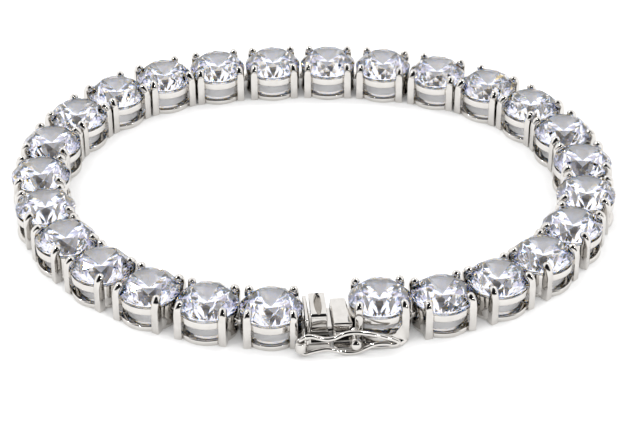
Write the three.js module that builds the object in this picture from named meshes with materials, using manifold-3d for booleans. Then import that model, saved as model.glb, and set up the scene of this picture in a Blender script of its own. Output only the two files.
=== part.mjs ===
// Tennis bracelet: a closed row of round brilliants in four-claw settings, with a box clasp
// and a figure-eight safety catch. Millimetres, +Z up. The bracelet lies on its base plane,
// stones up, bent sideways into an oval. The origin is at the bottom centre of its box.

import * as THREE from 'three';
import { ConvexGeometry } from 'three/addons/geometries/ConvexGeometry.js';
import { mergeVertices } from 'three/addons/utils/BufferGeometryUtils.js';
import Module from 'manifold-3d';

const wasm = await Module();
wasm.setup();

// ---------- Driving dimensions ----------

// The row: centre-to-centre pitch of straight links, and the heading of the first link,
// which lies just left of the clasp. Headings are counted anticlockwise from +X.
const PITCH = 6.67;
const FIRST_HEADING = 179.4;

// How far each hinge turns the row clockwise, walked from the first link round to the last.
const TURNS = [
  { hinges: 6, degrees: 14.4 },
  { hinges: 5, degrees: 16.5 },
  { hinges: 2, degrees: 5.7 },
  { hinges: 2, degrees: 9.4 },
  { hinges: 5, degrees: 16.1 },
  { hinges: 4, degrees: 15.5 },
  { hinges: 1, degrees: 13.0 },
];

// Round brilliant: girdle radius, heights of its levels, and facet proportions.
const STONE = {
  radius: 3.25,
  culetZ: 0.4,
  girdleLowZ: 3.15,
  girdleHighZ: 3.34,
  tableZ: 4.5,
  tableRatio: 0.6,
  starRatio: 0.5,
  lowerGirdleRatio: 0.78,
};

// Setting: a round basket with two windows and four square claws. The basket's top is a
// cone that follows the stone's pavilion, and the claws are cut back by the seat gap.
const BASKET = { outer: 3.2, inner: 2.35, outerTopZ: 3.0, innerTopZ: 2.27, sides: 16 };
const WINDOW = { halfWidth: 1.97, lowZ: 0.62, highZ: 2.0 };
const CLAW = { x: 2.38, y: 2.42, width: 0.78, shoulderZ: 4.14, tipZ: 4.46, tipRatio: 0.5 };
const SEAT_GAP = 0.1;

// Link hinge: a flat tab with an eye on the leading wall, a slotted wall with a pin behind it.
const HINGE = {
  height: 1.6,
  pinInset: 0.5,
  pinRadius: 0.16,
  pinLength: 1.84,
  eyeRadius: 0.52,
  eyeHole: 0.33,
  tabThickness: 0.7,
  slotWidth: 1.5,
  slotHeight: 1.28,
};

// Clasp. Its frame is the last link's: X towards the first link, Y outwards from the loop.
const END_LIFT = 0.5;
const BOX = { near: 2.95, far: 5.0, halfWidth: 2.3, lowZ: 0.3, highZ: 2.45, wall: 0.35 };
const BRACKET = { low: -1.7, high: 5.0, inner: 2.3, outer: 3.7, lipZ: 0.5, topZ: 1.5 };
const BALL = { x: 2.84, z: 1.45, radius: 0.6, neckRadius: 0.28 };
const END_PLATE = { low: 7.42, high: 7.86, halfWidth: 2.2, lowZ: 0.3, highZ: 3.0 };
const LEAF = { tipX: 3.85, halfWidth: 1.65, lowZ: 0.8, thickness: 0.3, gap: 0.22 };
const THUMB = { low: 5.55, high: 7.25, halfWidth: 2.05, lowZ: 1.5, highZ: 3.5 };
const GROOVE = { radius: 3.2, depth: 0.22, squash: 0.16 };

// Safety catch: its upright hinge tube stands out from the tongue's end plate.
const KNUCKLE = { x: 8.45, y: 4.4, radius: 0.62, bore: 0.34, lowZ: 0.8, highZ: 2.0 };
const FOOT = { low: 5.35, inner: 1.9, outer: 3.6, lowZ: 0.1, highZ: 1.0 };
const LUG = { low: 7.55, high: 8.3, reach: 4.05, lowZ: 0.9, highZ: 1.8 };
const WIRE_RADIUS = 0.22;

// Route of the catch wire: distance from the hinge along the clasp, and height of its centre.
const CATCH_ROUTE = [
  { along: 0.0, z: 1.5 },
  { along: 0.0, z: 2.05 },
  { along: 0.3, z: 2.42 },
  { along: 0.95, z: 2.55 },
  { along: 1.75, z: 2.32 },
  { along: 2.65, z: 2.08 },
  { along: 3.5, z: 2.22 },
  { along: 4.3, z: 2.6 },
  { along: 5.3, z: 2.78 },
  { along: 6.6, z: 2.6 },
  { along: 7.6, z: 2.34 },
  { along: 8.7, z: 1.95 },
  { along: 9.6, z: 1.6 },
  { along: 9.92, z: 1.3 },
  { along: 9.6, z: 1.06 },
  { along: 8.7, z: 1.22 },
  { along: 7.6, z: 1.17 },
  { along: 6.6, z: 0.72 },
  { along: 5.75, z: 0.32 },
  { along: 5.0, z: 0.24 },
  { along: 4.3, z: 0.36 },
  { along: 3.5, z: 0.64 },
  { along: 2.65, z: 0.86 },
  { along: 1.75, z: 0.74 },
  { along: 0.95, z: 0.56 },
  { along: 0.36, z: 0.42 },
  { along: 0.0, z: 0.72 },
  { along: 0.0, z: 1.2 },
];

// ---------- Materials ----------

const silver = () => new THREE.MeshStandardMaterial({ color: 0xdedbd7, roughness: 0.12, metalness: 1 });
const zirconia = () => new THREE.MeshStandardMaterial({ color: 0xf1f1f8, roughness: 0.02, metalness: 0 });

// ---------- Solids ----------

function toSolid(geometry) {
  const bare = geometry.index ? geometry.toNonIndexed() : geometry.clone();
  bare.deleteAttribute('normal');
  bare.deleteAttribute('uv');
  const merged = mergeVertices(bare, 1e-5);
  return new wasm.Manifold(new wasm.Mesh({
    numProp: 3,
    vertProperties: new Float32Array(merged.attributes.position.array),
    triVerts: new Uint32Array(merged.index.array),
  }));
}

function toGeometry(solid) {
  const mesh = solid.getMesh();
  const geometry = new THREE.BufferGeometry();
  geometry.setAttribute('position', new THREE.BufferAttribute(mesh.vertProperties, 3));
  geometry.setIndex(new THREE.BufferAttribute(mesh.triVerts, 1));
  const faceted = geometry.toNonIndexed();
  faceted.computeVertexNormals();
  return faceted;
}

// A block between two corners.
function block(low, high) {
  const size = high.map((value, axis) => value - low[axis]);
  const geometry = new THREE.BoxGeometry(...size);
  geometry.translate(...low.map((value, axis) => value + size[axis] / 2));
  return toSolid(geometry);
}

// A round or many-sided solid about an upright axis, from an outline of radius and height
// pairs. The first corner stands at the turn angle.
function turned(outline, sides, x = 0, y = 0, turn = 0) {
  const points = outline.map(([radius, z]) => new THREE.Vector2(radius, z));
  const geometry = new THREE.LatheGeometry(points, sides, turn);
  geometry.rotateX(Math.PI / 2);
  geometry.translate(x, y, 0);
  return toSolid(geometry);
}

// An outline of X and Z pairs, given depth along Y and centred on it.
function plate(shape, thickness, curveSegments) {
  const geometry = new THREE.ExtrudeGeometry(shape, { depth: thickness, bevelEnabled: false, curveSegments });
  geometry.translate(0, 0, -thickness / 2);
  geometry.rotateX(Math.PI / 2);
  return toSolid(geometry);
}

// ---------- Stone ----------

// Corner points of a round brilliant: table, crown, girdle, lower halves and culet.
function brilliantPoints(stone) {
  const eighth = Math.PI / 4;
  const ring = (count, radius, z, start) => Array.from({ length: count }, (_, k) => {
    const angle = start + (k * 2 * Math.PI) / count;
    return new THREE.Vector3(radius * Math.cos(angle), radius * Math.sin(angle), z);
  });
  const { radius, culetZ, girdleLowZ, girdleHighZ, tableZ } = stone;
  const table = radius * stone.tableRatio;
  const cosine = Math.cos(eighth / 2);
  const crownSlope = (tableZ - girdleHighZ) / (radius - table);
  const star = table * cosine + stone.starRatio * (radius - table * cosine);
  const starZ = tableZ - (star * cosine - table) * crownSlope;
  const half = radius * (1 - stone.lowerGirdleRatio);
  const halfZ = culetZ + (half * cosine * (girdleLowZ - culetZ)) / radius;
  return [
    ...ring(8, table, tableZ, 0),
    ...ring(8, star, starZ, eighth / 2),
    ...ring(16, radius, girdleHighZ, 0),
    ...ring(16, radius, girdleLowZ, 0),
    ...ring(8, half, halfZ, eighth / 2),
    new THREE.Vector3(0, 0, culetZ),
  ];
}

const stoneGeometry = new ConvexGeometry(brilliantPoints(STONE));

// The room that the claws leave the stone: its double cone, grown by the seat gap.
const seatCutter = turned([
  [0, STONE.culetZ - SEAT_GAP],
  [STONE.radius + SEAT_GAP, STONE.girdleLowZ - SEAT_GAP],
  [STONE.radius + SEAT_GAP, STONE.girdleHighZ + SEAT_GAP],
  [STONE.radius * STONE.tableRatio + SEAT_GAP, STONE.tableZ + SEAT_GAP],
  [0, STONE.tableZ + SEAT_GAP],
], 16);

// ---------- Setting ----------

// The basket with its windows and claws.
function basket() {
  const { outer, inner, outerTopZ, innerTopZ, sides } = BASKET;
  const tube = turned([[inner, 0], [outer, 0], [outer, outerTopZ], [inner, innerTopZ], [inner, 0]], sides);
  const window = block([-WINDOW.halfWidth, -outer - 1, WINDOW.lowZ], [WINDOW.halfWidth, outer + 1, WINDOW.highZ]);
  const { width, shoulderZ, tipZ, tipRatio } = CLAW;
  const corner = width / Math.SQRT2;
  const outline = [[0, 0], [corner, 0], [corner, shoulderZ], [corner * tipRatio, tipZ], [0, tipZ]];
  let body = tube.subtract(window);
  for (const x of [-CLAW.x, CLAW.x]) {
    for (const y of [-CLAW.y, CLAW.y]) {
      body = body.add(turned(outline, 4, x, y, Math.PI / 4).subtract(seatCutter));
    }
  }
  return body;
}

// The tab reaches from a wall at rootX to its eye at eyeX, at hinge height.
function hingeTab(rootX, eyeX, y = 0) {
  const { eyeRadius, eyeHole, tabThickness, height } = HINGE;
  const outline = new THREE.Shape();
  outline.moveTo(rootX, height - eyeRadius);
  outline.lineTo(eyeX, height - eyeRadius);
  outline.absarc(eyeX, height, eyeRadius, -Math.PI / 2, Math.PI / 2);
  outline.lineTo(rootX, height + eyeRadius);
  outline.closePath();
  const hole = new THREE.Path();
  hole.absarc(eyeX, height, eyeHole, 0, 2 * Math.PI, true);
  outline.holes.push(hole);
  return plate(outline, tabThickness, 3).translate([0, y, 0]);
}

// Cuts the slot for the neighbour's tab in the trailing wall, and sets the pin across it.
function withSlotAndPin(body, height) {
  const { slotWidth, slotHeight, pinRadius, pinLength, pinInset } = HINGE;
  const slot = block(
    [-BASKET.outer - 1, -slotWidth / 2, height - slotHeight / 2],
    [-BASKET.inner + 0.4, slotWidth / 2, height + slotHeight / 2],
  );
  const pin = new THREE.CylinderGeometry(pinRadius, pinRadius, pinLength, 5);
  pin.translate(-PITCH / 2 + pinInset, 0, height);
  return body.subtract(slot).add(toSolid(pin));
}

const plainBasket = basket();
const leadingTab = hingeTab(BASKET.outer - 0.5, PITCH / 2 + HINGE.pinInset);
const settingGeometry = toGeometry(withSlotAndPin(plainBasket, HINGE.height).add(leadingTab));

// ---------- Clasp: box end ----------

// The last setting stands on a bracket with the catch's ball, and carries the box.
function boxEnd() {
  const { near, far, halfWidth, lowZ, highZ, wall } = BOX;
  const shell = block([near, -halfWidth, lowZ], [far, halfWidth, highZ]);
  const mouth = block(
    [BASKET.outer + 0.15, -halfWidth + wall, lowZ + wall],
    [far + 1, halfWidth - wall, highZ - wall],
  );
  const clear = turned([[0, 0], [BASKET.inner, 0], [BASKET.inner, 3], [0, 3], [0, 0]], BASKET.sides);
  const profile = new THREE.Shape([
    new THREE.Vector2(BRACKET.inner, 0),
    new THREE.Vector2(BRACKET.outer, 0),
    new THREE.Vector2(BRACKET.outer, BRACKET.lipZ),
    new THREE.Vector2(BASKET.outer - 0.2, BRACKET.topZ),
    new THREE.Vector2(BRACKET.inner, BRACKET.topZ),
  ]);
  const skirt = new THREE.ExtrudeGeometry(profile, { depth: BRACKET.high - BRACKET.low, bevelEnabled: false });
  skirt.rotateX(Math.PI / 2);
  skirt.rotateZ(Math.PI / 2);
  skirt.translate(BRACKET.low, 0, 0);
  const footing = turned(
    [[BASKET.inner, 0], [BASKET.outer, 0], [BASKET.outer, 1], [BASKET.inner, 1], [BASKET.inner, 0]],
    BASKET.sides,
  );
  const ball = new THREE.SphereGeometry(BALL.radius, 8, 6);
  ball.translate(BALL.x, KNUCKLE.y, BALL.z);
  const neckLength = KNUCKLE.y - BASKET.outer + 0.4;
  const neck = new THREE.CylinderGeometry(BALL.neckRadius, BALL.neckRadius, neckLength, 8);
  neck.translate(BALL.x, KNUCKLE.y - neckLength / 2, BALL.z);
  const raised = plainBasket.translate([0, 0, END_LIFT]).add(footing);
  const metal = withSlotAndPin(raised.add(toSolid(skirt)), HINGE.height);
  const carried = shell.subtract(mouth).add(toSolid(ball)).add(toSolid(neck));
  return metal.add(carried.subtract(clear)).subtract(seatCutter.translate([0, 0, END_LIFT]));
}

// ---------- Clasp: tongue ----------

// End plate, folded spring leaf, grooved thumb piece and foot, with the catch's hinge tube.
function tongue(hingeX, hingeY) {
  const end = block(
    [END_PLATE.low, -END_PLATE.halfWidth, END_PLATE.lowZ],
    [END_PLATE.high, END_PLATE.halfWidth, END_PLATE.highZ],
  );
  const { tipX, halfWidth, lowZ, thickness, gap } = LEAF;
  const upperZ = lowZ + thickness + gap;
  const lowerLeaf = block([tipX, -halfWidth, lowZ], [END_PLATE.high, halfWidth, lowZ + thickness]);
  const upperLeaf = block([tipX, -halfWidth, upperZ], [THUMB.high, halfWidth, upperZ + thickness]);
  const fold = block([tipX, -halfWidth, lowZ], [tipX + thickness, halfWidth, upperZ + thickness]);
  const thumb = block(
    [THUMB.low, -THUMB.halfWidth, THUMB.lowZ],
    [THUMB.high, THUMB.halfWidth, THUMB.highZ],
  );
  const groove = new THREE.SphereGeometry(1, 10, 8);
  groove.scale(GROOVE.radius * GROOVE.squash, THUMB.halfWidth * 0.86, GROOVE.depth);
  groove.translate((THUMB.low + THUMB.high) / 2, 0, THUMB.highZ);
  const foot = block([FOOT.low, FOOT.inner, FOOT.lowZ], [END_PLATE.high, FOOT.outer, FOOT.highZ]);
  const lug = block([LUG.low, FOOT.inner, LUG.lowZ], [LUG.high, LUG.reach, LUG.highZ]);
  const tube = turned(
    [[0, KNUCKLE.lowZ], [KNUCKLE.radius, KNUCKLE.lowZ], [KNUCKLE.radius, KNUCKLE.highZ], [0, KNUCKLE.highZ]],
    12, KNUCKLE.x, KNUCKLE.y,
  );
  const bore = turned(
    [[0, KNUCKLE.lowZ - 1], [KNUCKLE.bore, KNUCKLE.lowZ - 1], [KNUCKLE.bore, KNUCKLE.highZ + 1], [0, KNUCKLE.highZ + 1]],
    10, KNUCKLE.x, KNUCKLE.y,
  );
  return end
    .add(lowerLeaf).add(upperLeaf).add(fold)
    .add(thumb.subtract(toSolid(groove)))
    .add(foot).add(lug).add(tube).subtract(bore)
    .add(hingeTab(END_PLATE.low + 0.1, hingeX, hingeY));
}

// ---------- Clasp: safety catch ----------

function catchGeometry() {
  const points = CATCH_ROUTE.map(({ along, z }) => new THREE.Vector3(KNUCKLE.x - along, KNUCKLE.y, z));
  const route = new THREE.CatmullRomCurve3(points, false, 'centripetal');
  const section = new THREE.Shape();
  section.absarc(0, 0, WIRE_RADIUS, 0, 2 * Math.PI);
  return new THREE.ExtrudeGeometry(section, { extrudePath: route, steps: 60, curveSegments: 3, bevelEnabled: false });
}

// ---------- Assembly ----------

// Places of the links, walked from hinge to hinge.
function linkPlaces() {
  const headings = [FIRST_HEADING];
  for (const { hinges, degrees } of TURNS) {
    for (let hinge = 0; hinge < hinges; hinge += 1) {
      headings.push(headings.at(-1) - degrees);
    }
  }
  const centre = new THREE.Vector2();
  let step = null;
  return headings.map((degrees) => {
    const heading = THREE.MathUtils.degToRad(degrees);
    const next = new THREE.Vector2(Math.cos(heading), Math.sin(heading)).multiplyScalar(PITCH / 2);
    if (step) {
      centre.add(step).add(next);
    }
    step = next;
    return { x: centre.x, y: centre.y, heading };
  });
}

function placed(name, geometry, material) {
  const mesh = new THREE.Mesh(geometry, material);
  mesh.name = name;
  return mesh;
}

const bracelet = new THREE.Group();
const places = linkPlaces();
const lastLink = places.at(-1);

places.forEach((place, index) => {
  const number = String(index + 1).padStart(2, '0');
  const link = new THREE.Group();
  link.position.set(place.x, place.y, 0);
  link.rotation.z = place.heading;
  const isLast = place === lastLink;
  const metal = isLast ? toGeometry(boxEnd()) : settingGeometry;
  const stone = placed(`stone_${number}`, stoneGeometry, zirconia());
  stone.position.z = isLast ? END_LIFT : 0;
  link.add(placed(isLast ? `setting_${number}_clasp_box` : `setting_${number}`, metal, silver()), stone);
  bracelet.add(link);
});

// The tongue's eye sits on the first setting's pin, seen in the clasp's frame.
const pinReach = PITCH / 2 - HINGE.pinInset;
const pinPlace = new THREE.Vector2(
  places[0].x - pinReach * Math.cos(places[0].heading),
  places[0].y - pinReach * Math.sin(places[0].heading),
);
pinPlace.sub(new THREE.Vector2(lastLink.x, lastLink.y)).rotateAround(new THREE.Vector2(), -lastLink.heading);

const clasp = new THREE.Group();
clasp.position.set(lastLink.x, lastLink.y, 0);
clasp.rotation.z = lastLink.heading;
clasp.add(placed('clasp_tongue', toGeometry(tongue(pinPlace.x, pinPlace.y)), silver()));
clasp.add(placed('safety_catch', catchGeometry(), silver()));
bracelet.add(clasp);

// The origin: bottom centre of the whole box.
bracelet.updateMatrixWorld(true);
const extent = new THREE.Box3().setFromObject(bracelet, true);
bracelet.position.set(
  -(extent.min.x + extent.max.x) / 2,
  -(extent.min.y + extent.max.y) / 2,
  -extent.min.z,
);

export default bracelet;
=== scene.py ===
import math
import random

import bmesh
import bpy
from mathutils import Matrix, Vector


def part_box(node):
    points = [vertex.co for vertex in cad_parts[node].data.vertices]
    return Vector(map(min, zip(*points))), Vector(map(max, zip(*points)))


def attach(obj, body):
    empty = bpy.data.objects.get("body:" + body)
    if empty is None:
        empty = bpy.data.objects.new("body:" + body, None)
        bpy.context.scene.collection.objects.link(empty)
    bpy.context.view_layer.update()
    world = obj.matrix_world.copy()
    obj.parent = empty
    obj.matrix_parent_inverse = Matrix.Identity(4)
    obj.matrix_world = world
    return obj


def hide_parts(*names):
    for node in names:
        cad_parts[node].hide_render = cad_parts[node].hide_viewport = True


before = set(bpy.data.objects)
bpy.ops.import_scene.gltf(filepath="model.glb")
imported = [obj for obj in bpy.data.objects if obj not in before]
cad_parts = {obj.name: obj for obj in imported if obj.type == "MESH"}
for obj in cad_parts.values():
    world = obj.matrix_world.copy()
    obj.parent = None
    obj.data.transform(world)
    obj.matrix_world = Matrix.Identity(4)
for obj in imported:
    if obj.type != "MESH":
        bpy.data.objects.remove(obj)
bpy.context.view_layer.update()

# ---------- Camera, floor and light ----------
# The bracelet lies on a white sheet in a big tent of white cloth, lit from outside. Polished
# metal and cut stones mirror the tent, so the dark opening that the camera looks in through
# is what draws their edges. A few small lamps hang inside the tent.

CAMERA_DISTANCE = 0.2551
CAMERA_ELEVATION = math.radians(33.64)
CAMERA_TARGET = Vector((0.000806, -0.002026, 0.0))
CAMERA_LENS = 129.15
CAMERA_SENSOR = 36.0
NEAREST_SEEN = 0.01
FARTHEST_SEEN = 20.0

to_camera = Vector((0.0, -math.cos(CAMERA_ELEVATION), math.sin(CAMERA_ELEVATION)))
camera_data = bpy.data.cameras.new("studio_camera")
camera_data.lens = CAMERA_LENS
camera_data.sensor_width = CAMERA_SENSOR
camera_data.clip_start = NEAREST_SEEN
camera_data.clip_end = FARTHEST_SEEN
camera = bpy.data.objects.new("studio_camera", camera_data)
camera.location = CAMERA_TARGET + to_camera * CAMERA_DISTANCE
camera.rotation_euler = (-to_camera).to_track_quat("-Z", "Y").to_euler()
bpy.context.scene.collection.objects.link(camera)
bpy.context.scene.camera = camera
bpy.context.scene.view_settings.view_transform = "Standard"

SHEET_WHITE = (0.93, 0.93, 0.93, 1.0)
SHEET_ROUGHNESS = 0.9
SHEET_SHINE = 0.1
SHEET_REACH = 2.0

sheet_material = bpy.data.materials.new("white_sheet")
sheet_material.use_nodes = True
sheet = sheet_material.node_tree.nodes["Principled BSDF"]
sheet.inputs["Base Color"].default_value = SHEET_WHITE
sheet.inputs["Roughness"].default_value = SHEET_ROUGHNESS
sheet.inputs["Specular IOR Level"].default_value = SHEET_SHINE

floor_mesh = bpy.data.meshes.new("floor")
build = bmesh.new()
bmesh.ops.create_grid(build, x_segments=1, y_segments=1, size=SHEET_REACH)
build.to_mesh(floor_mesh)
build.free()
floor_mesh.materials.append(sheet_material)
floor = bpy.data.objects.new("floor", floor_mesh)
bpy.context.scene.collection.objects.link(floor)

TENT_GLOW = 1.3
TENT_WHITE = (1.0, 1.0, 1.0, 1.0)
ROOM_DARK = (0.006, 0.006, 0.007, 1.0)
# the opening in the cloth, as the metal mirrors it: each pair is where its soft edge
# starts and ends, and the taper makes it narrower towards the top
OPENING_SILL = (-0.2, -0.12)
OPENING_TOP = (0.44, 0.56)
OPENING_SIDE = (0.46, 0.52)
OPENING_TAPER = 0.62
# as the stones gather it, from a wider field: a dim round hole with a mauve rim
STONE_WHITE = (1.12, 1.12, 1.12, 1.0)
ROOM_DIM = (0.1, 0.1, 0.15, 1.0)
RIM_MAUVE = (0.5, 0.48, 0.62, 1.0)
LENS_HOLE = (math.cos(math.radians(23)), math.cos(math.radians(13)))
HOLE_RIM = (math.cos(math.radians(46)), math.cos(math.radians(30)))

world = bpy.data.worlds.new("tent")
world.use_nodes = True
bpy.context.scene.world = world
nodes, links = world.node_tree.nodes, world.node_tree.links
nodes.clear()


def vector_step(operation, first, second=None):
    """One vector sum, product or length change in the tent's shading."""
    step = nodes.new("ShaderNodeVectorMath")
    step.operation = operation
    links.new(first, step.inputs[0])
    if second is not None:
        step.inputs[1].default_value = second
    return step.outputs["Value" if operation == "DOT_PRODUCT" else "Vector"]


def number_step(operation, first, second):
    """One sum or product of numbers in the tent's shading."""
    step = nodes.new("ShaderNodeMath")
    step.operation = operation
    for socket, value in zip(step.inputs, (first, second)):
        if isinstance(value, float):
            socket.default_value = value
        else:
            links.new(value, socket)
    return step.outputs["Value"]


def edge_step(value, start, end, rising):
    """A soft edge of the opening, from cloth to dark room or back."""
    step = nodes.new("ShaderNodeMapRange")
    step.interpolation_type = "SMOOTHSTEP"
    links.new(value, step.inputs["Value"])
    step.inputs["From Min"].default_value = start
    step.inputs["From Max"].default_value = end
    step.inputs["To Min"].default_value = 0.0 if rising else 1.0
    step.inputs["To Max"].default_value = 1.0 if rising else 0.0
    return step.outputs["Result"]


direction = nodes.new("ShaderNodeTexCoord").outputs["Generated"]
halfway = vector_step("NORMALIZE", vector_step("ADD", direction, to_camera))
sideways = number_step("ABSOLUTE", vector_step("DOT_PRODUCT", halfway, (1.0, 0.0, 0.0)), 0.0)
camera_up = (0.0, math.sin(CAMERA_ELEVATION), math.cos(CAMERA_ELEVATION))
upward = vector_step("DOT_PRODUCT", halfway, camera_up)
tapered = number_step("ADD", sideways, number_step("MULTIPLY", upward, OPENING_TAPER))
sill = edge_step(upward, *OPENING_SILL, True)
top = edge_step(upward, *OPENING_TOP, False)
sides = edge_step(tapered, *OPENING_SIDE, False)
opening = number_step("MULTIPLY", number_step("MULTIPLY", sill, top), sides)
towards = vector_step("DOT_PRODUCT", direction, to_camera)
light_path = nodes.new("ShaderNodeLightPath")
in_stone = light_path.outputs["Is Transmission Ray"]
in_metal = number_step("SUBTRACT", light_path.outputs["Is Glossy Ray"], in_stone)


def mixed(factor, first, second):
    """Two colours mixed in the tent's shading."""
    step = nodes.new("ShaderNodeMix")
    step.data_type = "RGBA"
    for socket, value in (("Factor", factor), ("A", first), ("B", second)):
        if isinstance(value, tuple):
            step.inputs[socket].default_value = value
        else:
            links.new(value, step.inputs[socket])
    return step.outputs["Result"]


seen_by_metal = mixed(opening, TENT_WHITE, ROOM_DARK)
hole_rim = mixed(edge_step(towards, *HOLE_RIM, True), STONE_WHITE, RIM_MAUVE)
seen_by_stones = mixed(edge_step(towards, *LENS_HOLE, True), hole_rim, ROOM_DIM)
cloth = mixed(in_metal, mixed(in_stone, TENT_WHITE, seen_by_stones), seen_by_metal)
glow = nodes.new("ShaderNodeBackground")
glow.inputs["Strength"].default_value = TENT_GLOW
out = nodes.new("ShaderNodeOutputWorld")
links.new(cloth, glow.inputs["Color"])
links.new(glow.outputs["Background"], out.inputs["Surface"])

LAMP_DISTANCE = 1.2
LAMPS = (
    # azimuth, elevation, width, power, whether polished things mirror it
    (150.0, 52.0, 0.08, 1.6, True),
    (35.0, 62.0, 0.06, 1.0, True),
    (-50.0, 35.0, 0.05, 0.7, True),
    (215.0, 62.0, 0.05, 0.7, True),
    (-90.0, 30.0, 0.6, 1.2, False),
)

for number, (azimuth, elevation, width, power, mirrored) in enumerate(LAMPS, start=1):
    lamp_data = bpy.data.lights.new(f"softbox_{number}", "AREA")
    lamp_data.shape = "DISK"
    lamp_data.size = width
    lamp_data.energy = power
    lamp = bpy.data.objects.new(f"softbox_{number}", lamp_data)
    bearing, height = math.radians(azimuth), math.radians(elevation)
    level = math.cos(height)
    away = Vector((math.cos(bearing) * level, math.sin(bearing) * level, math.sin(height)))
    lamp.location = away * LAMP_DISTANCE
    lamp.rotation_euler = away.to_track_quat("Z", "Y").to_euler()
    lamp.visible_glossy = lamp.visible_transmission = mirrored
    bpy.context.scene.collection.objects.link(lamp)

# ---------- The row ----------
# Twenty-six links hang on each other in a loop that the clasp closes. Each link's X runs
# along the row to the next link, its Y points out of the loop, and its stone sits over its
# middle. The last link, which carries the clasp's box, stands a little higher.

MM = 0.001
LINKS = 26
PITCH = 6.67
LAST_LIFT = 0.5
FIRST_HEADING = math.radians(179.4)

links_laid = []
heading = Vector((math.cos(FIRST_HEADING), math.sin(FIRST_HEADING)))
for number in range(1, LINKS + 1):
    low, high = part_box(f"stone_{number:02d}")
    middle = Vector((low[0] + high[0], low[1] + high[1])) / 2 / MM
    if links_laid:
        heading = ((middle - before) * 2 / PITCH - heading).normalized()
    before = middle
    lift = LAST_LIFT if number == LINKS else 0.0
    turn = Matrix.Rotation(math.atan2(heading.y, heading.x), 4, "Z")
    links_laid.append(Matrix.Scale(MM, 4) @ Matrix.Translation((*middle, lift)) @ turn)


def put_in_frame(name, build, place, material, body="root"):
    """Lays a piece made in millimetres at its place, and makes it ride on its body."""
    bmesh.ops.transform(build, matrix=place, verts=build.verts)
    mesh = bpy.data.meshes.new(name)
    build.to_mesh(mesh)
    mesh.materials.append(material)
    piece = bpy.data.objects.new(name, mesh)
    bpy.context.scene.collection.objects.link(piece)
    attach(piece, body)
    return piece


# ---------- Stones ----------
# Round brilliants of clear cubic zirconia, 6.5 mm across, ground flat by flat from a round
# blank: a table, eight stars, eight kites and sixteen upper halves over the girdle, then
# sixteen lower halves and eight mains under it. They bend blue light more than yellow.

STONE_RADIUS = 3.25
CULET = 0.4
GIRDLE_LOW = 3.15
GIRDLE_HIGH = 3.34
TABLE = 4.5
TABLE_RATIO = 0.6
STAR_RATIO = 0.5
LOWER_HALF_RATIO = 0.78
BLANK_SIDES = 96
CUT_TOLERANCE = 1e-5

# colour, and how strongly the stone bends it
WARM_LIGHT = ((0.85, 0.62, 0.2, 1.0), 2.14)
COOL_LIGHT = ((0.15, 0.38, 0.8, 1.0), 2.19)
MEAN_BEND = 2.16
DEEP_TINT = (0.955, 0.955, 0.98, 1.0)

zirconia = bpy.data.materials.new("clear_zirconia")
zirconia.use_nodes = True
nodes, links = zirconia.node_tree.nodes, zirconia.node_tree.links
nodes.clear()
out = nodes.new("ShaderNodeOutputMaterial")
facing = nodes.new("ShaderNodeNewGeometry")
faces = nodes.new("ShaderNodeMixShader")
inner = nodes.new("ShaderNodeBsdfGlass")
inner.inputs["Color"].default_value = DEEP_TINT
inner.inputs["IOR"].default_value = MEAN_BEND
inner.inputs["Roughness"].default_value = 0.0
fire = nodes.new("ShaderNodeAddShader")
for socket, (colour, bend) in zip(fire.inputs, (WARM_LIGHT, COOL_LIGHT)):
    ray = nodes.new("ShaderNodeBsdfGlass")
    ray.inputs["Color"].default_value = colour
    ray.inputs["IOR"].default_value = bend
    ray.inputs["Roughness"].default_value = 0.0
    links.new(ray.outputs["BSDF"], socket)
links.new(facing.outputs["Backfacing"], faces.inputs["Fac"])
links.new(fire.outputs["Shader"], faces.inputs[1])
links.new(inner.outputs["BSDF"], faces.inputs[2])
links.new(faces.outputs["Shader"], out.inputs["Surface"])


def round_point(radius, step, height):
    """A point of the stone, with its direction counted in sixteenths of a turn."""
    turn = step * math.pi / 8
    return Vector((radius * math.cos(turn), radius * math.sin(turn), height))


def cut_facet(build, first, second, third):
    """Grinds a flat facet through three points, and keeps the side with the stone's middle."""
    normal = (second - first).cross(third - first).normalized()
    middle = Vector((0.0, 0.0, (GIRDLE_LOW + GIRDLE_HIGH) / 2))
    if normal.dot(middle - first) > 0:
        normal.negate()
    everything = build.verts[:] + build.edges[:] + build.faces[:]
    cut = bmesh.ops.bisect_plane(build, geom=everything, dist=CUT_TOLERANCE, plane_co=first,
                                 plane_no=normal, clear_outer=True)
    outline = [part for part in cut["geom_cut"] if isinstance(part, bmesh.types.BMEdge)]
    bmesh.ops.edgenet_fill(build, edges=outline)


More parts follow.
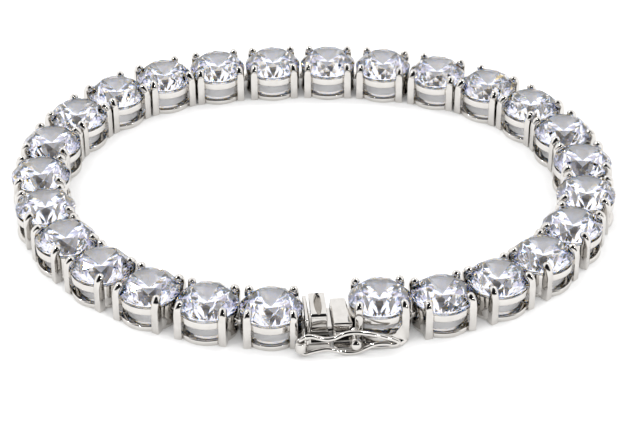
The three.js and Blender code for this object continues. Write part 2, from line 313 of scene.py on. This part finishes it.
def brilliant():
    """One round brilliant, cut from a round blank."""
    build = bmesh.new()
    bmesh.ops.create_cone(build, cap_ends=True, segments=BLANK_SIDES, radius1=STONE_RADIUS,
                          radius2=STONE_RADIUS, depth=TABLE - CULET)
    bmesh.ops.translate(build, vec=(0.0, 0.0, (TABLE + CULET) / 2), verts=build.verts)
    table_radius = STONE_RADIUS * TABLE_RATIO
    crown_slope = (TABLE - GIRDLE_HIGH) / (STONE_RADIUS - table_radius)
    pavilion_slope = (GIRDLE_LOW - CULET) / STONE_RADIUS
    half_facet = math.cos(math.pi / 8)
    edge_middle = table_radius * half_facet
    star_radius = edge_middle + STAR_RATIO * (STONE_RADIUS - edge_middle)
    star_height = TABLE + crown_slope * (table_radius - star_radius * half_facet)
    lower_radius = (1 - LOWER_HALF_RATIO) * STONE_RADIUS
    lower_height = CULET + pavilion_slope * lower_radius * half_facet
    culet = Vector((0.0, 0.0, CULET))
    for step in range(0, 16, 2):
        across = Vector((-math.sin(step * math.pi / 8), math.cos(step * math.pi / 8), 0.0))
        corner = round_point(table_radius, step, TABLE)
        cut_facet(build, corner, round_point(STONE_RADIUS, step, GIRDLE_HIGH), corner + across)
        cut_facet(build, culet, round_point(STONE_RADIUS, step, GIRDLE_LOW), culet + across)
    for step in range(0, 16, 2):
        star = round_point(star_radius, step + 1, star_height)
        tip = round_point(lower_radius, step + 1, lower_height)
        corner, next_corner = (round_point(table_radius, turn, TABLE) for turn in (step, step + 2))
        cut_facet(build, corner, next_corner, star)
        for turn in (step, step + 2):
            for inner_point, height in ((star, GIRDLE_HIGH), (tip, GIRDLE_LOW)):
                cut_facet(build, inner_point, round_point(STONE_RADIUS, turn, height),
                          round_point(STONE_RADIUS, step + 1, height))
    bmesh.ops.recalc_face_normals(build, faces=build.faces)
    return build


# the setter drops each stone in at any turn, and its cut repeats every 45 degrees
FACET_TURN = 45.0

chance = random.Random(26)
for number, place in enumerate(links_laid, start=1):
    build = brilliant()
    spin = Matrix.Rotation(math.radians(chance.uniform(0.0, FACET_TURN)), 4, "Z")
    piece = put_in_frame(f"brilliant_{number:02d}", build, place @ spin, zirconia)
    build.free()
    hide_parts(f"stone_{number:02d}")

# ---------- Settings ----------
# Each stone sits in a basket cast in 925 silver: a round wall with a window in front and one
# behind, and four square claws at its corners, whose ends are pushed over the stone. All the
# metal is polished to a mirror and rhodium plated, with a very fine uneven polishing haze.

HAZE_SCALE = 900.0
HAZE_DETAIL = 3.0
HAZE_LOW = 0.35
HAZE_HIGH = 0.65
MIRROR_ROUGHNESS = 0.03
HAZED_ROUGHNESS = 0.11
SILVER_DULL = (0.605, 0.585, 0.56, 1.0)
SILVER_BRIGHT = (0.655, 0.635, 0.61, 1.0)
SCUFF_SCALE = 4000.0
SCUFF_STRENGTH = 0.04
SCUFF_DEPTH = 0.00002

silver = bpy.data.materials.new("rhodium_plated_silver")
silver.use_nodes = True
nodes, links = silver.node_tree.nodes, silver.node_tree.links
polish = nodes["Principled BSDF"]
polish.inputs["Metallic"].default_value = 1.0
where = nodes.new("ShaderNodeTexCoord")
haze = nodes.new("ShaderNodeTexNoise")
haze.inputs["Scale"].default_value = HAZE_SCALE
haze.inputs["Detail"].default_value = HAZE_DETAIL
haze_range = nodes.new("ShaderNodeMapRange")
haze_range.inputs["To Min"].default_value = MIRROR_ROUGHNESS
haze_range.inputs["To Max"].default_value = HAZED_ROUGHNESS
tone = nodes.new("ShaderNodeValToRGB")
tone.color_ramp.elements[0].position = HAZE_LOW
tone.color_ramp.elements[0].color = SILVER_DULL
tone.color_ramp.elements[1].position = HAZE_HIGH
tone.color_ramp.elements[1].color = SILVER_BRIGHT
scuffs = nodes.new("ShaderNodeTexNoise")
scuffs.inputs["Scale"].default_value = SCUFF_SCALE
dents = nodes.new("ShaderNodeBump")
dents.inputs["Strength"].default_value = SCUFF_STRENGTH
dents.inputs["Distance"].default_value = SCUFF_DEPTH
links.new(where.outputs["Object"], haze.inputs["Vector"])
links.new(haze.outputs["Fac"], haze_range.inputs["Value"])
links.new(haze_range.outputs["Result"], polish.inputs["Roughness"])
links.new(haze.outputs["Fac"], tone.inputs["Fac"])
links.new(tone.outputs["Color"], polish.inputs["Base Color"])
links.new(where.outputs["Object"], scuffs.inputs["Vector"])
links.new(scuffs.outputs["Fac"], dents.inputs["Height"])
links.new(dents.outputs["Normal"], polish.inputs["Normal"])

WALL_OUTER = 3.2
WALL_INNER = 2.35
WALL_TOP = 2.84
SEAT_LOW = 2.31
WINDOW_LOW = 0.62
WINDOW_HIGH = 2.0
SLOT_LOW = 0.96
SLOT_HIGH = 2.17
COLUMNS = 96
WINDOW_COLUMNS = 12
SLOT_COLUMNS = 4
# radius and height, up the outside of the rail under the windows
FOOT_RAIL = ((3.19, 0.0), (3.235, 0.16), (3.235, 0.3), (3.22, 0.46), (3.17, WINDOW_LOW))
# how far an edge is rounded, and in how many steps
EDGE_ROUNDING = (0.06, 2)
SOFT_ANGLE = math.radians(25)
MERGE = 1e-4
LEVEL_FACE = 0.3
WALL_PLAY = 0.2


def soften(build, edges, offset, segments):
    """Rounds edges as polishing does."""
    bmesh.ops.bevel(build, geom=edges, offset=offset, offset_type="OFFSET", segments=segments,
                    profile=0.5, affect="EDGES", clamp_overlap=True, material=-1)


def sharp_edges(build, limit=SOFT_ANGLE):
    """The edges whose two faces turn by more than an angle."""
    return [edge for edge in build.edges if edge.calc_face_angle(0.0) > limit]


def moved(build, offset):
    """The same solid, moved."""
    bmesh.ops.translate(build, vec=offset, verts=build.verts)
    return build


def turned(outline, steps, axis=(0.0, 0.0, 1.0), closed=False):
    """A round solid, spun about an axis through the origin from points of its outline."""
    build = bmesh.new()
    points = [build.verts.new(point) for point in outline]
    pairs = zip(points[-1:] + points[:-1], points) if closed else zip(points, points[1:])
    edges = [build.edges.new(pair) for pair in pairs]
    bmesh.ops.spin(build, geom=points + edges, cent=(0.0, 0.0, 0.0), axis=axis,
                   dvec=(0.0, 0.0, 0.0), angle=math.tau, steps=steps, use_merge=True)
    bmesh.ops.remove_doubles(build, verts=build.verts, dist=MERGE)
    bmesh.ops.recalc_face_normals(build, faces=build.faces)
    return build


def open_wall(build, low, high, centre_column, half_columns):
    """Cuts an opening through the round wall, and closes its rim between the two sides."""
    rims = []
    for radius in (WALL_OUTER, WALL_INNER):
        inside = []
        for face in build.faces:
            middle = face.calc_center_median()
            if abs(face.normal.z) > LEVEL_FACE or not low < middle.z < high:
                continue
            if abs(math.hypot(middle.x, middle.y) - radius) > WALL_PLAY:
                continue
            column = math.degrees(math.atan2(middle.y, middle.x)) / 360 * COLUMNS - centre_column
            column = (column + COLUMNS / 2) % COLUMNS - COLUMNS / 2
            if abs(column) < half_columns:
                inside.append(face)
        border = dict.fromkeys(edge for face in inside for edge in face.edges
                               if sum(other in inside for other in edge.link_faces) == 1)
        bmesh.ops.delete(build, geom=inside, context="FACES")
        rims += [edge for edge in border if edge.is_valid]
    bmesh.ops.bridge_loops(build, edges=rims)


def basket(lift=0.0):
    """The round wall with its seat, its two windows and the slot for the neighbour's hinge tab."""
    slot_low, slot_high = SLOT_LOW - lift, SLOT_HIGH - lift
    levels = sorted((WINDOW_LOW, WINDOW_HIGH, slot_low, slot_high))
    outline = [(radius, z or -lift) for radius, z in FOOT_RAIL]
    outline += [(WALL_OUTER, z) for z in levels + [WALL_TOP] if z > WINDOW_LOW]
    outline += [(WALL_INNER, z) for z in [SEAT_LOW] + levels[::-1] + [-lift]]
    build = turned([(radius, 0.0, z) for radius, z in outline], COLUMNS, closed=True)
    for quarter_turn in (COLUMNS / 4, -COLUMNS / 4):
        open_wall(build, WINDOW_LOW, WINDOW_HIGH, quarter_turn, WINDOW_COLUMNS)
    open_wall(build, slot_low, slot_high, COLUMNS / 2, SLOT_COLUMNS)
    bmesh.ops.recalc_face_normals(build, faces=build.faces)
    soften(build, sharp_edges(build), *EDGE_ROUNDING)
    return moved(build, (0.0, 0.0, lift))


CLAW_X = 2.38
CLAW_Y = 2.42
CLAW_WIDTH = 0.84
CLAW_SIDES = 40
SQUARENESS = 0.2
# height, and size against the full width
CLAW_FOOT = ((0.0, 0.88), (0.03, 0.96), (0.1, 1.0))
CLAW_SHOULDER = 3.42
CLAW_LEAN = 0.3
CLAW_BEND = math.radians(62)
BEND_RADIUS = 0.6
TIP_RADIUS = 0.46
# the square post turns round towards its tip: below the shoulder, then along the bend
EASE_STEPS = 4
EASE_RISE = 0.12
EASE_ROUNDING = 0.15
BEND_STEPS = 8
BEND_ROUNDING = 0.1
BEAD_STEPS = 9
BEAD_TURN = math.radians(10)
BEAD_SHORT = math.radians(1)
SEAT_GAP = 0.06
CUTTER_TIP = 0.1


def drawn_out(sections):
    """A solid drawn out through a row of like sections."""
    build = bmesh.new()
    face = build.faces.new([build.verts.new(point) for point in sections[0]])
    for section in sections[1:]:
        face = bmesh.ops.extrude_discrete_faces(build, faces=[face])["faces"][0]
        for vert, point in zip(face.verts, section):
            vert.co = point
    bmesh.ops.holes_fill(build, edges=build.edges, sides=0)
    bmesh.ops.recalc_face_normals(build, faces=build.faces)
    return build


def claw(side_x, side_y):
    """A square post with rounded edges, whose end is bent over the stone and rounded to a bead."""
    up = Vector((0.0, 0.0, 1.0))
    inward = Vector((-side_x * CLAW_LEAN, -side_y, 0.0)).normalized()
    turns = [step * math.tau / CLAW_SIDES for step in range(CLAW_SIDES)]
    circle = [Vector((math.cos(turn), math.sin(turn), 0.0)) for turn in turns]
    # each station: centre, lean, how round, size
    stations = [(up * height, 0.0, 0.0, size) for height, size in CLAW_FOOT]
    for step in range(EASE_STEPS):
        height = CLAW_SHOULDER - EASE_RISE * (EASE_STEPS - step)
        stations.append((up * height, 0.0, EASE_ROUNDING * step, 1.0))
    for step in range(BEND_STEPS + 1):
        lean = CLAW_BEND * step / BEND_STEPS
        centre = up * (CLAW_SHOULDER + BEND_RADIUS * math.sin(lean))
        centre = centre + inward * (BEND_RADIUS * (1 - math.cos(lean)))
        roundness = min(1.0, EASE_ROUNDING * EASE_STEPS + BEND_ROUNDING * step)
        stations.append((centre, lean, roundness, 1.0))
    onward = up * math.cos(CLAW_BEND) + inward * math.sin(CLAW_BEND)
    for step in range(1, BEAD_STEPS + 1):
        angle = BEAD_TURN * step - BEAD_SHORT
        bead = centre + onward * (TIP_RADIUS * math.sin(angle))
        stations.append((bead, CLAW_BEND, 1.0, math.cos(angle)))
    sections = []
    for centre, lean, roundness, size in stations:
        bend = Matrix.Rotation(lean, 3, up.cross(inward))
        section = []
        for point in circle:
            x, y = (math.copysign(abs(value) ** SQUARENESS, value) * CLAW_WIDTH / 2 for value in point.xy)
            shape = Vector((x, y, 0.0)).lerp(point * TIP_RADIUS, roundness)
            section.append(centre + bend @ (shape * size))
        sections.append(section)
    return moved(drawn_out(sections), (side_x * CLAW_X, side_y * CLAW_Y, 0.0))


def joined(*builds):
    """Several solids soldered into one piece."""
    together = bmesh.new()
    for build in builds:
        mesh = bpy.data.meshes.new("solder")
        build.to_mesh(mesh)
        build.free()
        together.from_mesh(mesh)
        bpy.data.meshes.remove(mesh)
    return together


def made_mesh(thing):
    """A thing's mesh with its modifiers or its wire thickness worked in."""
    bpy.context.view_layer.update()
    return bpy.data.meshes.new_from_object(thing.evaluated_get(bpy.context.evaluated_depsgraph_get()))


def filed_away(build, cutter_build):
    """Takes one solid away from another, exactly."""
    things = []
    for solid in (build, cutter_build):
        mesh = bpy.data.meshes.new("filing")
        solid.to_mesh(mesh)
        solid.free()
        things.append(bpy.data.objects.new("filing", mesh))
        bpy.context.scene.collection.objects.link(things[-1])
    cut = things[0].modifiers.new("cut", "BOOLEAN")
    cut.operation = "DIFFERENCE"
    cut.solver = "EXACT"
    cut.object = things[1]
    left = made_mesh(things[0])
    result = bmesh.new()
    result.from_mesh(left)
    for thing in things:
        mesh = thing.data
        bpy.data.objects.remove(thing)
        bpy.data.meshes.remove(mesh)
    bpy.data.meshes.remove(left)
    return result


def claws():
    """Four claws at the corners, with the stone's seat cut out of them a little too large."""
    reach = STONE_RADIUS + SEAT_GAP
    cutter = turned((
        (0.0, 0.0, CULET - CUTTER_TIP),
        (reach, 0.0, GIRDLE_LOW - SEAT_GAP / 2),
        (reach, 0.0, GIRDLE_HIGH + SEAT_GAP / 2),
        (STONE_RADIUS * TABLE_RATIO + SEAT_GAP, 0.0, TABLE + SEAT_GAP / 2),
        (0.0, 0.0, TABLE + SEAT_GAP),
    ), BLANK_SIDES)
    posts = joined(*(claw(side_x, side_y) for side_x in (-1, 1) for side_y in (-1, 1)))
    return filed_away(posts, cutter)


# ---------- Link hinges ----------
# A flat silver tab with a round eye is soldered to one side of each basket. It reaches into
# the slot of the next basket's wall, and hangs there on a short pin.

HINGE_HEIGHT = 1.6
PIN_INSET = 0.5
PIN_RADIUS = 0.16
PIN_LENGTH = 1.84
EYE_RADIUS = 0.52
EYE_HOLE = 0.33
TAB_THICKNESS = 0.7
TAB_ROOT = 0.3
STEM_SHARE = 0.6
HINGE_ROUNDING = (0.05, 2)
PIN_ROUNDING = (0.048, 2)
EYE_SIDES = 32
PIN_SIDES = 16
CREASE = math.radians(50)


def hinge_eye():
    """A flat round ring standing upright, its hole along Y."""
    half = TAB_THICKNESS / 2
    outline = [(radius, y, 0.0) for radius, y in (
        (EYE_HOLE, -half), (EYE_RADIUS, -half), (EYE_RADIUS, half), (EYE_HOLE, half))]
    build = turned(outline, EYE_SIDES, axis=(0.0, 1.0, 0.0), closed=True)
    soften(build, sharp_edges(build), *HINGE_ROUNDING)
    return build


def block(low, high):
    """A square block between two opposite corners."""
    build = bmesh.new()
    bmesh.ops.create_cube(build, size=1.0)
    low, high = Vector(low), Vector(high)
    bmesh.ops.scale(build, vec=high - low, verts=build.verts)
    bmesh.ops.translate(build, vec=(low + high) / 2, verts=build.verts)
    return build


def bar(low, high, rounding=HINGE_ROUNDING):
    """A block with rounded edges."""
    build = block(low, high)
    soften(build, build.edges[:], *rounding)
    return build


def hinge_tab(root_x, eye_x, y=0.0):
    """The flat stem that stands on a wall, and the eye at its end."""
    half, rise = TAB_THICKNESS / 2, EYE_RADIUS * STEM_SHARE
    stem = bar((root_x, y - half, HINGE_HEIGHT - rise),
               (eye_x - EYE_HOLE, y + half, HINGE_HEIGHT + rise))
    return joined(moved(hinge_eye(), (eye_x, y, HINGE_HEIGHT)), stem)


def hinge_pin():
    """The pin across the slot, for the neighbour's eye."""
    build = bmesh.new()
    bmesh.ops.create_cone(build, cap_ends=True, segments=PIN_SIDES, radius1=PIN_RADIUS,
                          radius2=PIN_RADIUS, depth=PIN_LENGTH,
                          matrix=Matrix.Rotation(math.pi / 2, 4, "X"))
    soften(build, sharp_edges(build, CREASE), *PIN_ROUNDING)
    return moved(build, (-PITCH / 2 + PIN_INSET, 0.0, HINGE_HEIGHT))


def finish_metal(piece):
    """Smooth shading that keeps flat faces flat between their rounded edges."""
    for face in piece.data.polygons:
        face.use_smooth = True
    piece.data.set_sharp_from_angle(angle=CREASE)
    weights = piece.modifiers.new("flat_faces", "WEIGHTED_NORMAL")
    weights.keep_sharp = True


tab = hinge_tab(WALL_OUTER - TAB_ROOT, PITCH / 2 + PIN_INSET)
setting = joined(basket(), claws(), tab, hinge_pin())
for number, place in enumerate(links_laid[:-1], start=1):
    copy = setting.copy()
    piece = put_in_frame(f"basket_{number:02d}", copy, place, silver)
    copy.free()
    finish_metal(piece)
    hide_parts(f"setting_{number:02d}")
setting.free()

# ---------- Clasp: box end ----------
# The last basket stands half a millimetre higher, on a bracket with a swept skirt. The box
# of the clasp and the ball that the safety catch snaps over are soldered to it.

BOX_NEAR = 2.9
BOX_FAR = 5.0
BOX_HALF = 2.3
BOX_LOW = 0.3
BOX_HIGH = 2.45
BOX_WALL = 0.35
BOX_SLANT = 0.45
BOX_ROUNDING = (0.24, 6)
TOUCHING = 0.01
BALL_MIDDLE = (2.84, 4.42, 1.34)
BALL_RADIUS = 0.64
BALL_STEP = 8
BALL_SIDES = 40
NECK_RADIUS = 0.3
# how much wider than the neck, and how far along to its root
NECK = ((0.0, 0.48), (0.04, 0.62), (0.18, 0.76), (0.3, 1.0))
NECK_START = 0.06
NECK_SUNK = 0.3
SKIRT_INNER = 2.1
SKIRT_FLOOR = 0.02
SKIRT_CHAMFER = 0.1
SKIRT_LIP = 0.34
SKIRT_LEDGE = 0.06
SKIRT_TUCK = 0.08
SKIRT = (
    # x, reach of the foot, where the sweep ends (y and height), how tight it is
    (5.0, 3.5, 2.55, 1.4, 2.6),
    (4.88, 3.66, 2.6, 1.5, 2.6),
    (4.6, 3.7, 2.6, 1.5, 2.6),
    (2.0, 3.7, 2.65, 1.5, 2.4),
    (0.5, 3.74, 2.9, 1.42, 1.5),
    (-0.7, 3.76, 3.0, 1.32, 1.0),
    (-1.3, 3.74, 2.95, 1.42, 1.0),
    (-1.7, 3.62, 2.88, 1.8, 1.0),
    (-2.0, 3.46, 2.82, 2.3, 1.0),
    (-2.3, 3.16, 2.79, 2.7, 1.0),
    (-2.55, 2.9, 2.76, 2.8, 1.0),
    (-2.72, 2.66, 2.62, 2.7, 1.0),
)
SWEEP_STEPS = 8

clasp_place = links_laid[-1] @ Matrix.Translation((0.0, 0.0, -LAST_LIFT))


def skirt():
    """The bracket's foot, drawn out along the clasp and swept up to the basket."""
    sections = []
    for x, reach, top_y, top_z, tightness in SKIRT:
        corners = [(SKIRT_INNER, SKIRT_FLOOR), (reach - SKIRT_CHAMFER, SKIRT_FLOOR),
                   (reach, SKIRT_FLOOR + SKIRT_CHAMFER), (reach, SKIRT_LIP - SKIRT_LEDGE)]
        for step in range(SWEEP_STEPS + 1):
            angle = step / SWEEP_STEPS * math.pi / 2
            inward = (1 - math.sin(angle)) ** tightness
            upward = (1 - math.cos(angle)) ** tightness
            corners.append((top_y + (reach - SKIRT_LEDGE - top_y) * inward,
                            SKIRT_LIP + (top_z - SKIRT_LIP) * upward))
        corners += [(top_y - SKIRT_TUCK, top_z + SKIRT_LEDGE), (SKIRT_INNER, top_z + SKIRT_LEDGE)]
        sections.append([(x, y, z) for y, z in corners])
    return drawn_out(sections)


def clasp_box():
    """A box open towards the tongue, with its inner side a little shorter."""
    build = block((BOX_NEAR, -BOX_HALF, BOX_LOW), (BOX_FAR, BOX_HALF, BOX_HIGH))
    for vert in build.verts:
        if vert.co.x < BOX_NEAR + TOUCHING and vert.co.y < 0:
            vert.co.x += BOX_SLANT
    mouth = max(build.faces, key=lambda face: face.calc_center_median().x)
    bmesh.ops.inset_region(build, faces=[mouth], thickness=BOX_WALL, use_even_offset=True)
    pocket = bmesh.ops.extrude_discrete_faces(build, faces=[mouth])["faces"][0]
    depth = BOX_FAR - BOX_NEAR - BOX_SLANT - BOX_WALL
    bmesh.ops.translate(build, vec=(-depth, 0.0, 0.0), verts=pocket.verts)

    skin = {vert for vert in build.verts if min(
        abs(vert.co.z - BOX_LOW), abs(vert.co.z - BOX_HIGH), abs(abs(vert.co.y) - BOX_HALF)) < TOUCHING}
    outside = [edge for edge in sharp_edges(build) if skin.issuperset(edge.verts)]
    soften(build, outside, *BOX_ROUNDING)
    return build


def catch_ball():
    """The ball on its tapered neck, turned in one piece."""
    outline = [(0.0, BALL_RADIUS, 0.0)]
    angle = 90
    while outline[-1][1] > 0 or outline[-1][0] > NECK_RADIUS + NECK_START:
        angle -= BALL_STEP
        turn = math.radians(angle)
        outline.append((BALL_RADIUS * math.cos(turn), BALL_RADIUS * math.sin(turn), 0.0))
    root = SKIRT_INNER + NECK_SUNK - BALL_MIDDLE[1]
    outline += [(NECK_RADIUS + wider, root * share, 0.0) for wider, share in NECK]
    outline.append((0.0, root, 0.0))
    return moved(turned(outline, BALL_SIDES, axis=(0.0, 1.0, 0.0)), BALL_MIDDLE)


raised_claws = moved(claws(), (0.0, 0.0, LAST_LIFT))
box_end = joined(basket(LAST_LIFT), raised_claws, hinge_pin(), skirt(), clasp_box(), catch_ball())
piece = put_in_frame("box_end", box_end, clasp_place, silver)
box_end.free()
finish_metal(piece)
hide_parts("setting_26_clasp_box")

# ---------- Clasp: tongue ----------
# A strip of silver folded on itself springs into the box. Its grooved thumb piece stands on
# the upper leaf, and its end plate hangs on the first setting's pin and carries the catch.

PLATE_LOW = 7.42
PLATE_HIGH = 7.86
SOLDERED_IN = 0.1
LEAF_TIP = 3.85
LEAF_HALF = 1.65
LEAF_LOW = 0.8
LEAF_THICKNESS = 0.3
LEAF_GAP = 0.22
FOLD_STEPS = 8
THUMB_LOW = 5.55
THUMB_HIGH = 7.25
THUMB_HALF = 2.1
THUMB_BASE = 1.5
THUMB_TOP = 3.5
THUMB_CROWN = 0.45
CROWN_STEPS = 8
THUMB_ROUNDING = (0.14, 4)
GROOVE_HALF_WIDTH = 0.44
GROOVE_HALF_LENGTH = 0.96 * THUMB_HALF
GROOVE_DEPTH = 0.8
GROOVE_LEAN = math.radians(14)
GROOVE_SIDES = 4
GROOVE_STEPS = 40
TUBE_X = 8.45
TUBE_Y = 4.4
TUBE_RADIUS = 0.62
TUBE_BORE = 0.34
TUBE_LOW = 0.8
TUBE_HIGH = 2.0
TUBE_RIM = 0.1
TUBE_BULGE = 0.03
TUBE_SIDES = 40
TAB_END = (8.337, 0.246)
# each block's low corner, high corner and rounding
END_PLATE = ((PLATE_LOW, -2.2, 0.3), (PLATE_HIGH, 2.2, 3.0), (0.14, 4))
THUMB_SEAT = ((5.47, -2.0, 1.28), (7.27, 2.14, 1.56), (0.1, 4))
FOOT = ((5.35, 1.9, 0.1), (PLATE_HIGH, 3.6, 1.0), (0.22, 5))
LUG = ((7.55, 1.9, 0.9), (8.3, 4.0, 1.8), (0.15, 4))


def arc(middle, radius, angles):
    """Points round a middle, at angles in degrees."""
    turns = [math.radians(angle) for angle in angles]
    return [(middle[0] + radius * math.cos(turn), middle[1] + radius * math.sin(turn)) for turn in turns]


def spring_leaf():
    """The folded strip: the lower leaf, the round fold at its tip and the upper leaf."""
    outer = LEAF_THICKNESS + LEAF_GAP / 2
    inner = outer - LEAF_THICKNESS
    middle = (LEAF_TIP + outer, LEAF_LOW + outer)
    half_turn = [-90 - 180 * step / FOLD_STEPS for step in range(FOLD_STEPS + 1)]
    outline = [(PLATE_HIGH - SOLDERED_IN, LEAF_LOW)]
    outline += arc(middle, outer, half_turn)
    outline += [(THUMB_HIGH, middle[1] + outer), (THUMB_HIGH, middle[1] + outer - LEAF_THICKNESS)]
    outline += arc(middle, inner, half_turn[::-1])
    outline.append((PLATE_HIGH - SOLDERED_IN, LEAF_LOW + LEAF_THICKNESS))
    build = drawn_out([[(x, y, z) for x, z in outline] for y in (-LEAF_HALF, LEAF_HALF)])
    soften(build, sharp_edges(build, CREASE), *HINGE_ROUNDING)
    return build


def thumb_piece():
    """The block pressed to open the clasp, crowned at both ends, with a lens-shaped groove."""
    quarter_turn = [90 * step / CROWN_STEPS for step in range(CROWN_STEPS + 1)]
    crown = arc((THUMB_HALF - THUMB_CROWN, THUMB_TOP - THUMB_CROWN), THUMB_CROWN, quarter_turn)
    outline = [(-THUMB_HALF, THUMB_BASE), (THUMB_HALF, THUMB_BASE), *crown]
    outline += [(-y, z) for y, z in crown[::-1]]
    half = (THUMB_HIGH - THUMB_LOW) / 2
    build = drawn_out([[(x, y, z) for y, z in outline] for x in (-half, half)])
    soften(build, sharp_edges(build, CREASE), *THUMB_ROUNDING)
    lens = bmesh.new()
    bmesh.ops.create_uvsphere(lens, u_segments=GROOVE_SIDES, v_segments=GROOVE_STEPS, radius=1.0)
    lying = Matrix.Rotation(math.pi / 2, 3, "X")
    leaning = Matrix.Rotation(GROOVE_LEAN, 3, "Y")
    bmesh.ops.rotate(lens, cent=(0.0, 0.0, 0.0), matrix=lying, verts=lens.verts)
    bmesh.ops.scale(lens, vec=(GROOVE_HALF_WIDTH, GROOVE_HALF_LENGTH, GROOVE_DEPTH), verts=lens.verts)
    bmesh.ops.rotate(lens, cent=(0.0, 0.0, 0.0), matrix=leaning, verts=lens.verts)
    grooved = filed_away(build, moved(lens, (0.0, 0.0, THUMB_TOP)))
    return moved(grooved, ((THUMB_LOW + THUMB_HIGH) / 2, 0.0, 0.0))


def hinge_tube():
    """The short upright tube that the catch's wire ends turn in."""
    outline = [
        (TUBE_BORE, TUBE_LOW), (TUBE_RADIUS - TUBE_RIM, TUBE_LOW), (TUBE_RADIUS, TUBE_LOW + TUBE_RIM),
        (TUBE_RADIUS, TUBE_HIGH - TUBE_RIM), (TUBE_RADIUS - TUBE_BULGE, TUBE_HIGH - TUBE_BULGE),
        (TUBE_RADIUS - TUBE_RIM, TUBE_HIGH), (TUBE_BORE + TUBE_RIM / 2, TUBE_HIGH),
        (TUBE_BORE, TUBE_HIGH - TUBE_RIM / 2), (TUBE_BORE, TUBE_LOW),
    ]
    tube = turned([(radius, 0.0, z) for radius, z in outline], TUBE_SIDES)
    return moved(tube, (TUBE_X, TUBE_Y, 0.0))


tab = hinge_tab(PLATE_LOW + SOLDERED_IN, *TAB_END)
tongue = joined(bar(*END_PLATE), spring_leaf(), bar(*THUMB_SEAT), thumb_piece(), bar(*FOOT), bar(*LUG),
                hinge_tube(), tab)
piece = put_in_frame("sprung_tongue", tongue, clasp_place, silver)
tongue.free()
finish_metal(piece)
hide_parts("clasp_tongue")

# ---------- Clasp: safety catch ----------
# A length of round silver wire bent into a figure eight. Both ends turn in the hinge tube,
# and the narrow waist beyond the ball keeps it shut.

WIRE_RADIUS = 0.25
WIRE_BEND_STEPS = 8
WIRE_ROUND_STEPS = 5
WIRE_ROUTE = (
    # distance from the hinge along the clasp, and height of the wire's centre
    (0.0, 1.5), (0.0, 2.05), (0.3, 2.42), (0.95, 2.55), (1.75, 2.32), (2.65, 2.08), (3.5, 2.22),
    (4.3, 2.6), (5.3, 2.78), (6.6, 2.6), (7.6, 2.34), (8.7, 1.95), (9.6, 1.6), (9.92, 1.3),
    (9.6, 1.06), (8.7, 1.22), (7.6, 1.17), (6.6, 0.72), (5.75, 0.34), (5.0, 0.27), (4.3, 0.38),
    (3.5, 0.64), (2.65, 0.86), (1.75, 0.74), (0.95, 0.56), (0.36, 0.42), (0.0, 0.72), (0.0, 1.2),
)

wire = bpy.data.curves.new("catch_wire", "CURVE")
wire.dimensions = "3D"
wire.resolution_u = WIRE_BEND_STEPS
wire.bevel_depth = WIRE_RADIUS
wire.bevel_resolution = WIRE_ROUND_STEPS
wire.use_fill_caps = True
bends = wire.splines.new("BEZIER")
bends.bezier_points.add(len(WIRE_ROUTE) - 1)
for point, (along, height) in zip(bends.bezier_points, WIRE_ROUTE):
    point.co = (TUBE_X - along, TUBE_Y, height)
    point.handle_left_type = point.handle_right_type = "AUTO"
wire_object = bpy.data.objects.new("catch_wire", wire)
bpy.context.scene.collection.objects.link(wire_object)
wire_mesh = made_mesh(wire_object)
catch_build = bmesh.new()
catch_build.from_mesh(wire_mesh)
bpy.data.objects.remove(wire_object)
bpy.data.curves.remove(wire)
bpy.data.meshes.remove(wire_mesh)
piece = put_in_frame("figure_eight_catch", catch_build, clasp_place, silver, body="catch")
catch_build.free()
finish_metal(piece)
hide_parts("safety_catch")
